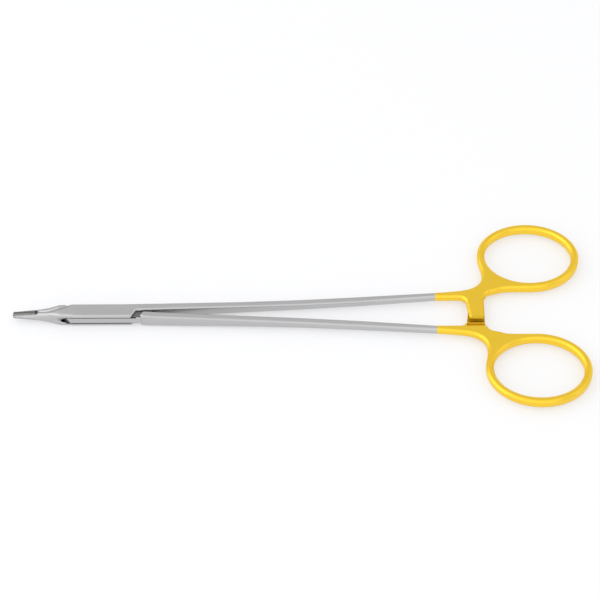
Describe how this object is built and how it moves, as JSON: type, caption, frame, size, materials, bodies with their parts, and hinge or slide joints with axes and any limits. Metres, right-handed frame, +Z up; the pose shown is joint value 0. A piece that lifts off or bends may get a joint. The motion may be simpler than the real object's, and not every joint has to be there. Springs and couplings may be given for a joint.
{
  "type": "surgical needle holder",
  "caption": "Slim box-lock needle holder with carbide jaw inserts, a ratchet and plated finger rings; grips a suture needle and locks on it.",
  "frame": {"origin": "on the surface it lies on, below the middle of the closed instrument's length and width", "axes": "jaws towards -X, finger rings towards +X, +Y towards the box arm's ring, +Z up through the flat of the instrument"},
  "size_m": [0.18, 0.0728, 0.0049],
  "materials": {
    "box_arm": "satin steel, gold plated from 133 mm behind the tips to the ring",
    "through_arm": "satin steel, gold plated from 133 mm behind the tips to the ring",
    "pivot_pin": "ground flush, satin",
    "box_arm_insert": "tungsten carbide, cross-cut grip face",
    "through_arm_insert": "tungsten carbide, cross-cut grip face"
  },
  "bodies": {
    "box_side": {"box_arm": "box_arm", "pivot_pin": "pivot_pin", "box_arm_insert": "box_arm_insert"},
    "through_side": {"through_arm": "through_arm", "through_arm_insert": "through_arm_insert"}
  },
  "joints": [
    {"name": "box_lock_hinge", "type": "hinge", "parent": "box_side", "child": "through_side", "pos_m": [-0.063, 0, 0.00245], "axis": [0, 0, -1], "range_deg": [0, 28]}
  ]
}
